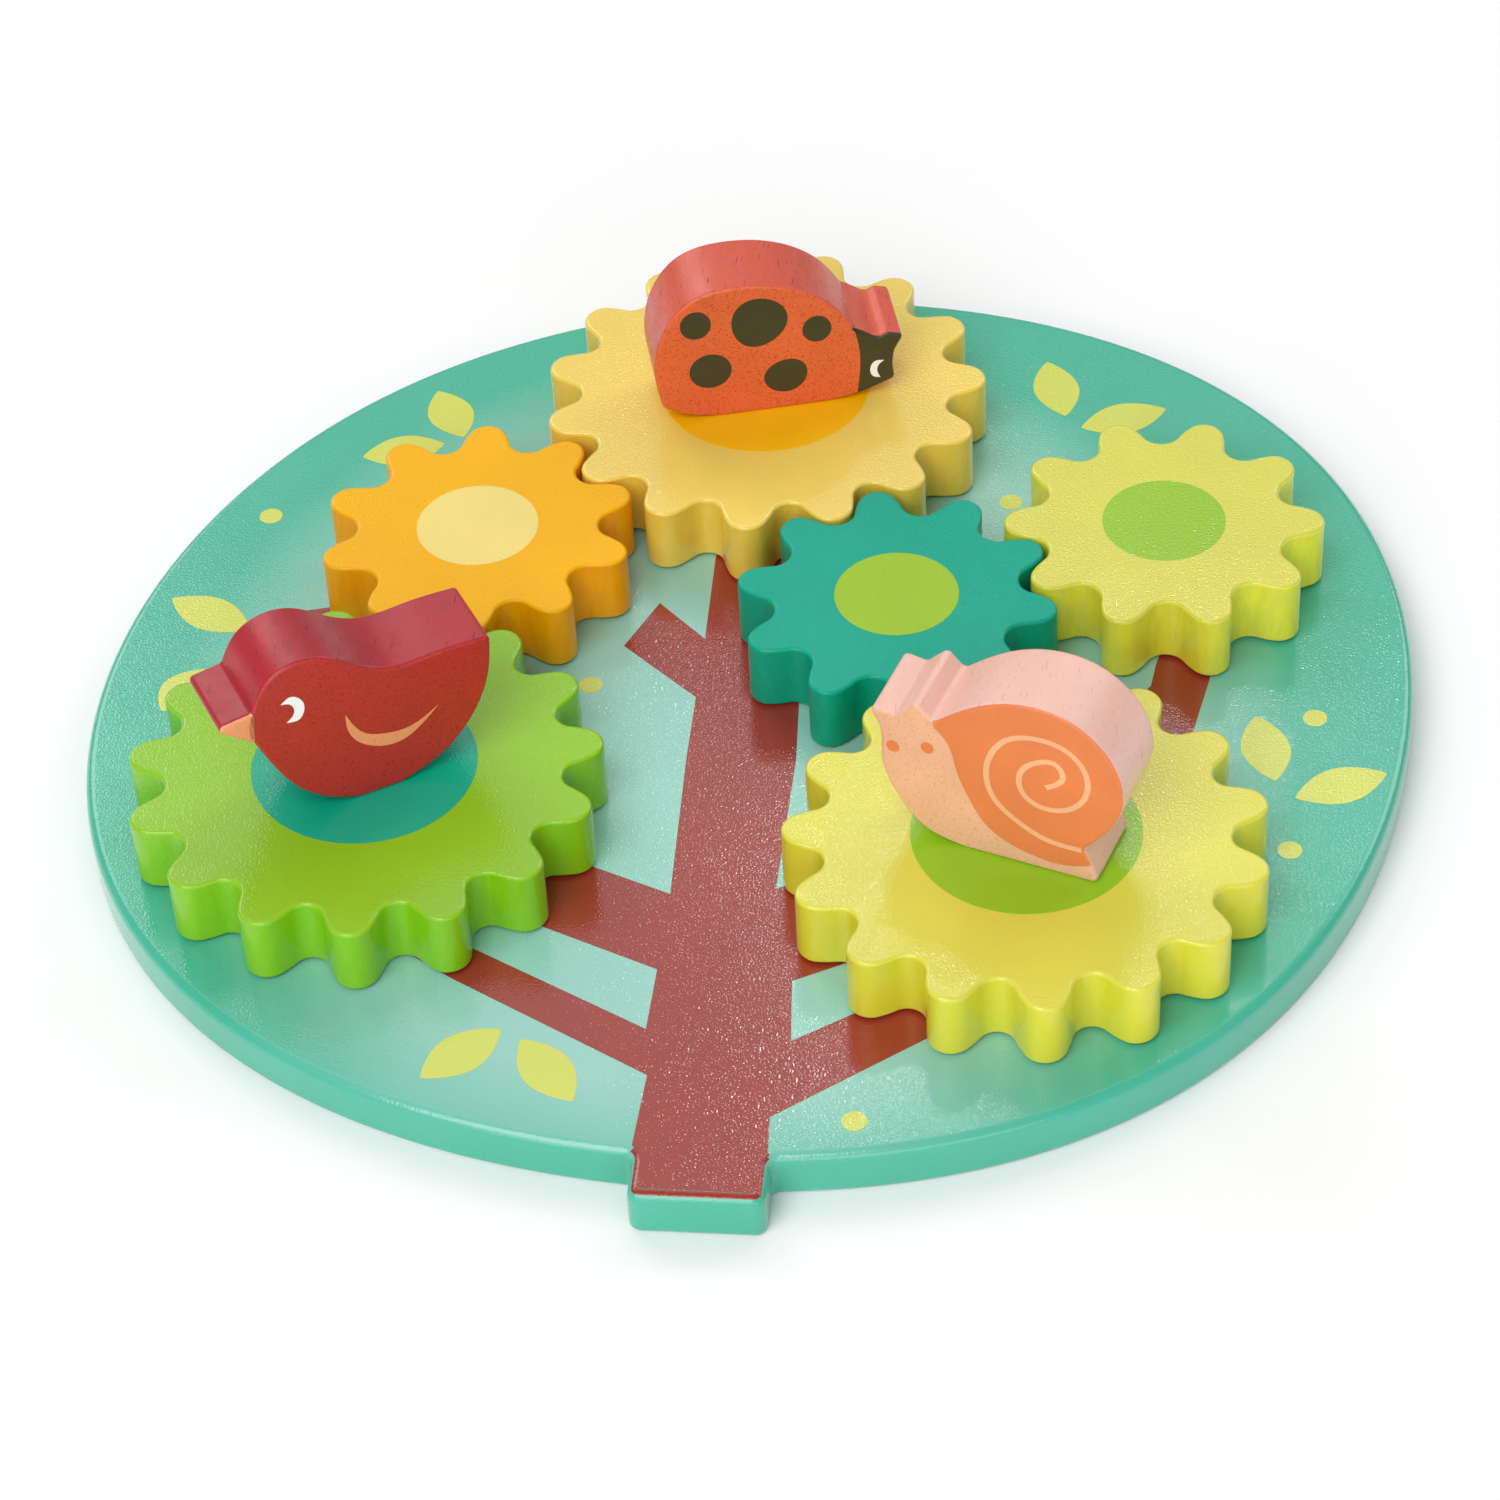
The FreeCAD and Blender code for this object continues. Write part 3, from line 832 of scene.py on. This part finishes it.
# Profiles in the plane of the broad face, along the figure and up from the wheel's top: stretches
# that meet end to end, straight where they have two points and smooth where they have more
PROFILES = {
    "ladybird": (
        ((-11.5, 0.0), (13.0, 0.0)),
        ((13.0, 0.0), (20.0, 1.2), (28.6, 4.4)),
        ((28.6, 4.4), (28.2, 8.0), (28.7, 12.2)),
        ((28.7, 12.2), (31.0, 16.6)),
        ((31.0, 16.6), (27.0, 17.6)),
        ((27.0, 17.6), (25.0, 16.8), (22.8, 18.0), (19.4, 20.2)),
        (
            (19.4, 20.2), (15.0, 26.8), (7.3, 32.6), (-6.1, 35.6), (-17.4, 33.0),
            (-24.0, 24.3), (-25.8, 11.8), (-24.6, 4.4),
        ),
        ((-24.6, 4.4), (-19.5, 1.6), (-11.5, 0.0)),
    ),
    "bird": (
        ((-4.5, 0.0), (5.0, 0.0)),
        ((5.0, 0.0), (14.0, 3.6), (21.6, 10.8), (26.4, 21.0), (27.6, 31.4)),
        (
            (27.6, 31.4), (16.0, 31.9), (6.0, 32.0), (-1.5, 35.7), (-8.0, 40.4),
            (-14.4, 41.7), (-20.7, 39.1), (-24.8, 32.4),
        ),
        ((-24.8, 32.4), (-33.4, 31.4)),
        ((-33.4, 31.4), (-29.6, 28.0), (-25.1, 24.5)),
        ((-25.1, 24.5), (-22.0, 16.9), (-17.4, 8.6), (-11.2, 2.9), (-4.5, 0.0)),
    ),
    "snail": (
        ((-10.0, 0.0), (19.4, 0.0)),
        ((19.4, 0.0), (15.7, 8.6)),
        (
            (15.7, 8.6), (21.6, 16.4), (24.0, 24.4), (21.2, 34.8), (13.4, 42.0),
            (3.7, 43.6), (-6.5, 40.3), (-16.5, 32.7),
        ),
        ((-16.5, 32.7), (-20.2, 36.6)),
        ((-20.2, 36.6), (-24.8, 31.9)),
        ((-24.8, 31.9), (-31.6, 33.0)),
        (
            (-31.6, 33.0), (-28.4, 27.8), (-28.0, 19.1), (-24.3, 9.0), (-18.0, 2.2),
            (-10.0, 0.0),
        ),
    ),
}
PROFILE_SPACING = 0.6
PRINT_SPACING = 0.3

# Prints, in the same plane. A wrapped print has the two ends of its stretch of the figure's rim,
# then its border inside the figure. A crescent has its outer and its inner curve.
LADYBIRD_HEAD = (
    ((19.8, 1.2), (19.4, 20.2)),
    ((19.4, 20.2), (20.4, 15.4), (20.7, 9.7), (19.8, 1.5)),
)
LADYBIRD_EYE = (
    ((26.2, 9.9), (24.0, 9.9), (22.9, 7.8), (23.6, 5.7), (25.2, 5.2)),
    ((26.2, 9.9), (25.0, 9.0), (24.5, 7.4), (25.2, 5.2)),
)
# Middle, width, height, tilt and bluntness
LADYBIRD_SPOTS = (
    ((-16.2, 26.6), 7.0, 7.6, 0.0, 0.0),
    ((-2.0, 25.1), 12.6, 13.4, -20.0, 0.12),
    ((11.1, 21.3), 6.6, 7.2, 0.0, 0.0),
    ((-13.4, 13.3), 9.6, 9.4, 0.0, 0.0),
    ((3.7, 9.2), 10.0, 9.0, 20.0, 0.08),
)
BIRD_BEAK = (
    ((-24.8, 32.4), (-25.3, 24.9)),
    ((-25.6, 25.3), (-25.6, 29.5), (-24.8, 32.2)),
)
BIRD_EYE = (
    ((-17.8, 27.0), (-15.1, 26.8), (-13.7, 29.2), (-14.2, 31.9), (-16.2, 33.4), (-18.5, 32.2)),
    ((-17.8, 27.0), (-16.2, 28.4), (-15.9, 30.2), (-16.7, 31.6), (-18.5, 32.2)),
)
BIRD_WING = (
    (
        (-5.3, 23.8), (-5.3, 20.0), (-3.7, 15.9), (-0.7, 13.2), (3.2, 11.7), (6.5, 11.9),
        (10.1, 13.8), (12.5, 15.8), (14.7, 17.9),
    ),
    (
        (-5.3, 23.8), (-3.7, 19.9), (-1.4, 16.9), (2.4, 15.2), (6.8, 14.6), (10.2, 15.4),
        (14.7, 17.9),
    ),
)
SNAIL_SHELL = (
    ((17.6, 4.4), (-16.5, 32.4)),
    (
        (-16.5, 31.6), (-13.5, 28.2), (-11.6, 21.4), (-8.7, 14.0), (-5.2, 8.2), (-0.7, 5.0),
        (4.7, 3.3), (11.2, 2.8), (16.3, 4.1),
    ),
)
SNAIL_EYES = {"near": (-17.8, 25.3), "far": (-25.3, 23.3)}
SNAIL_EYE_SIZE = (2.8, 3.0)
SNAIL_SPIRAL = (
    (7.7, 23.1), (11.3, 27.4), (9.6, 30.1), (5.8, 29.3), (2.4, 25.7), (2.4, 20.7), (5.2, 17.8),
    (10.7, 17.8), (15.0, 21.2), (16.6, 26.7), (14.9, 31.9), (11.1, 34.9), (5.8, 35.6),
    (-0.2, 33.6), (-4.0, 28.4), (-5.1, 23.1), (-3.2, 16.0), (1.7, 11.6), (7.3, 8.8), (15.4, 8.3),
)
SPIRAL_WIDTH = 1.25
SPIRAL_SPACING = 0.4
EGG_SIDES = 48
# How far a wrapped print goes down the rim's quarter circle, ring by ring, in degrees
WRAP_ANGLES = (55, 40, 25, 12, 0)


def crescent(outer, inner):
    """Closed outline between two curves that share their ends."""
    inner_curve = smooth_through(inner, PRINT_SPACING)
    return np.concatenate((smooth_through(outer, PRINT_SPACING), inner_curve[-2:0:-1]))


def ribbon(points, width):
    """Closed outline of a line through the points, its ends cut square.

    It lies half the width to both sides of the curve, square to it.
    """
    path = smooth_through(points, SPIRAL_SPACING)
    along = np.gradient(path)
    side = 1j * along / np.abs(along) * width / 2
    return np.concatenate((path - side, (path + side)[::-1]))


def egg(centre, width, height, tilt=0.0, blunt=0.0):
    """Oval: half the width times the cosine across, half the height times the sine up.

    Its width grows by the blunt share towards its top, and then it is tilted.
    """
    t = 2 * np.pi * np.arange(EGG_SIDES) / EGG_SIDES
    shape = width / 2 * np.cos(t) * (1 + blunt * np.sin(t)) + 1j * height / 2 * np.sin(t)
    return complex(*centre) + shape * direction(tilt)


class Figure:
    """Figure cut from thick wood, with its broad faces painted up to their rims and printed.

    Points of the broad face, and a depth, are carried to their place on the wheel. Depth is
    measured from the wood's middle towards the front, which faces down the tree.
    """

    def __init__(self, name, centre, paint_name):
        self.name = name
        self.body = name + "_wheel"
        self.centre = centre
        self.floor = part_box(name)[0].z / MM
        self.along = direction(FIGURE_DIRECTION[name])
        self.front = -1j * self.along
        self.outline = self.profile()
        self.cut(face_paint(name, paint_name))

    def profile(self):
        """Closed outline of the broad face."""
        stretches = []
        for points in PROFILES[self.name]:
            if len(points) == 2:
                start, end = (complex(*point) for point in points)
                stretches.append(straight(start, end, PROFILE_SPACING))
            else:
                stretches.append(smooth_through(points))
        return joined(stretches, [FIGURE_TIP_ROUND] * len(stretches))

    def placed(self, vertices, side=1):
        """Vertices (along, up, depth) in their place, side -1 for the back of the figure."""
        flat = self.centre + vertices[:, 0] * self.along + side * vertices[:, 2] * self.front
        return np.stack((flat.real, flat.imag, self.floor + vertices[:, 1]), axis=1)

    def cut(self, paint):
        """Profile carried through the wood's thickness, its broad faces and their rims painted."""
        half, rim = FIGURE_THICKNESS / 2, FIGURE_EDGE_ROUND
        vertices, faces = rounded_slab(self.outline, -half, half, rim, rim)
        count = len(self.outline)
        rows = len(faces) // count
        painted = np.zeros(len(faces), int)
        painted[: count * PAINTED_ROWS] = 1
        painted[count * (rows - PAINTED_ROWS) : count * rows] = 1
        painted[-2:] = 1
        materials = [stained_wood(self.name), paint]
        figure = new_piece(self.name + "_figure", self.placed(vertices), faces, materials, painted)
        softly_shaded(figure)
        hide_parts(self.name)
        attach(figure, self.body)

    def add_films(self, name, vertices, faces, material):
        """The same film on the front and on the back, where its faces run the other way round."""
        for label, side in (("front", 1), ("back", -1)):
            placed = self.placed(vertices, side)
            film = new_piece(
                f"{self.name}_{name}_{label}", placed, [face[::side] for face in faces], [material]
            )
            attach(film, self.body)

    def add_print(self, name, outline, material, layer=0):
        """Flat print on both faces, over as many others as layer says."""
        surface = FIGURE_THICKNESS / 2 + layer * FILM
        self.add_films(name, *thin_film(outline, surface), material)

    def add_wrapped_print(self, name, ends, border, material):
        """Print bounded by a border line inside and by the figure's own rim outside.

        The part of the outline between the ends, anticlockwise, carries the print over the
        rounded rim: its rings follow the quarter circle, while the border stays where it is.
        """
        first, last = (nearest(self.outline, end) for end in ends)
        span = (last - first) % len(self.outline) + 1
        picked = (first + np.arange(span)) % len(self.outline)
        normals = outward(self.outline)[picked]
        inner = smooth_through(border)[1:-1]
        ring = np.concatenate((self.outline[picked] - normals * FIGURE_EDGE_ROUND, inner))
        spread = np.concatenate((normals, np.zeros(len(inner))))
        wraps = np.abs(spread) > 0.5
        radius = FIGURE_EDGE_ROUND + FILM
        top = FIGURE_THICKNESS / 2 + FILM
        rings = []
        for angle in np.radians(WRAP_ANGLES):
            drop = np.where(wraps, radius * (1 - np.cos(angle)), 0.0)
            rings.append((ring + spread * radius * np.sin(angle), top - drop))
        buried = (rings[0][0] - spread * 2 * FILM, rings[0][1] - 2 * FILM)
        self.add_films(name, *stacked([buried] + rings), material)


def make_ladybird(centre, eye_white):
    """Ladybird with five spots, a black head and an eye."""
    ladybird = Figure("ladybird", centre, "red")
    black = face_paint("ladybird", "black")
    for number, spot in enumerate(LADYBIRD_SPOTS):
        ladybird.add_print(f"spot_{number + 1}", egg(*spot), black)
    ladybird.add_wrapped_print("head", *LADYBIRD_HEAD, black)
    ladybird.add_print("eye", crescent(*LADYBIRD_EYE), eye_white, layer=1)


def make_bird(centre, eye_white):
    """Bird with a wing, a beak and an eye."""
    bird = Figure("bird", centre, "red")
    peach = face_paint("bird", "peach")
    bird.add_print("wing", crescent(*BIRD_WING), peach)
    bird.add_wrapped_print("beak", *BIRD_BEAK, peach)
    bird.add_print("eye", crescent(*BIRD_EYE), eye_white)


def make_snail(centre):
    """Snail with a coiled shell and two eyes."""
    snail = Figure("snail", centre, "skin")
    shell = face_paint("snail", "shell")
    snail.add_wrapped_print("shell", *SNAIL_SHELL, shell)
    spiral = ribbon(SNAIL_SPIRAL, SPIRAL_WIDTH)
    snail.add_print("spiral", spiral, face_paint("snail", "line"), layer=1)
    for label, place in SNAIL_EYES.items():
        snail.add_print(f"eye_{label}", egg(place, *SNAIL_EYE_SIZE), shell)


# Putting it together

bark = print_ink("bark_print", BARK)
centres = wheel_centres()
angles = tooth_angles(centres)
board_top = make_board(centres, board_enamel("board_green"), bark)
make_board_print(board_top, bark, print_ink("foliage_print", FOLIAGE))
for wheel_name in WHEEL_PAINT:
    make_wheel(wheel_name, centres[wheel_name], angles[wheel_name])
eye_white = enamel("eye_white", EYE_WHITE)
make_ladybird(centres["ladybird_gear"], eye_white)
make_bird(centres["bird_gear"], eye_white)
make_snail(centres["snail_gear"])

beech = bare_beech("bare_beech")
steel = zinc_steel("zinc_steel")
SMALL_PARTS = {"axle": beech, "dowels": beech, "washer": steel, "screw": steel}
for node_name, node in frame["nodes"].items():
    material = SMALL_PARTS.get(node_name.split("_")[-1])
    if material is not None:
        node.data.materials.clear()
        node.data.materials.append(material)

# Floor, lights and camera, in metres
FLOOR_SIZE = 8.0
SKY_STRENGTH = 0.26
GLINT_SIZE = (0.08, 0.055)
# Each lamp's place, size and radiance. The glints are small bright lamps, each mirrored in one
# part of the lacquer, where its pebbles sparkle.
LAMPS = {
    "front": ((-0.6, -1.4, 1.8), (1.6, 1.6), 4.0),
    "fill": ((0.2, -1.9, 0.75), (2.8, 1.0), 1.8),
    "haze": ((-0.2, 1.2, 1.85), (2.2, 1.5), 0.95),
    "back_left": ((-1.1, 1.3, 1.1), (0.9, 0.9), 3.0),
    "back_right": ((1.1, 1.3, 1.1), (0.9, 0.9), 3.0),
    "glint_1": ((0.118, 1.063, 1.156), GLINT_SIZE, 14.0),
    "glint_2": ((-0.036, 0.961, 1.19), GLINT_SIZE, 20.0),
    "glint_3": ((-0.11, 1.182, 1.095), GLINT_SIZE, 8.0),
}
CAMERA_PLACE = (0.09372, -0.73274, 0.68543)
CAMERA_RIGHT = (0.99493, 0.09146, -0.04174)
CAMERA_UP = (-0.03243, 0.68494, 0.72788)
CAMERA_BACKWARD = (0.09516, -0.72284, 0.68444)
CAMERA_LENS = 110.47
CAMERA_SENSOR = 36.0


def pale_floor():
    """Matt white floor under the toy."""
    finish = Finish("floor_white")
    colour = finish.mix(finish.patches(400.0), *FLOOR_WHITE)
    white = finish.surface(Base_Color=colour, Roughness=0.9)
    reach = FLOOR_SIZE / 2 / MM
    corners = [(-reach, -reach, 0), (reach, -reach, 0), (reach, reach, 0), (-reach, reach, 0)]
    new_piece("floor", corners, [[0, 1, 2, 3]], [white])


def area_light(name, place, size, radiance):
    """Rectangle that faces the toy; its power is radiance times pi times its area."""
    lamp = bpy.data.lights.new(name, "AREA")
    lamp.shape = "RECTANGLE"
    lamp.size, lamp.size_y = size
    lamp.energy = radiance * math.pi * size[0] * size[1]
    light = bpy.data.objects.new(name, lamp)
    light.location = place
    light.rotation_euler = (-Vector(place)).to_track_quat("-Z", "Y").to_euler()
    bpy.context.scene.collection.objects.link(light)


def studio():
    """White surroundings and the lamps."""
    world = bpy.context.scene.world or bpy.data.worlds.new("studio")
    bpy.context.scene.world = world
    world.use_nodes = True
    sky = world.node_tree.nodes["Background"]
    sky.inputs["Color"].default_value = (1.0, 1.0, 1.0, 1.0)
    sky.inputs["Strength"].default_value = SKY_STRENGTH
    for name, (place, size, radiance) in LAMPS.items():
        area_light(name, place, size, radiance)


def photo_camera():
    """Camera that stands where the photograph was taken from."""
    camera = bpy.data.objects.new("camera", bpy.data.cameras.new("camera"))
    camera.data.lens = CAMERA_LENS
    camera.data.sensor_width = CAMERA_SENSOR
    turn = Matrix((CAMERA_RIGHT, CAMERA_UP, CAMERA_BACKWARD)).transposed().to_4x4()
    camera.matrix_world = Matrix.Translation(CAMERA_PLACE) @ turn
    bpy.context.scene.collection.objects.link(camera)
    bpy.context.scene.camera = camera


pale_floor()
studio()
photo_camera()
bpy.context.scene.view_settings.view_transform = "Standard"
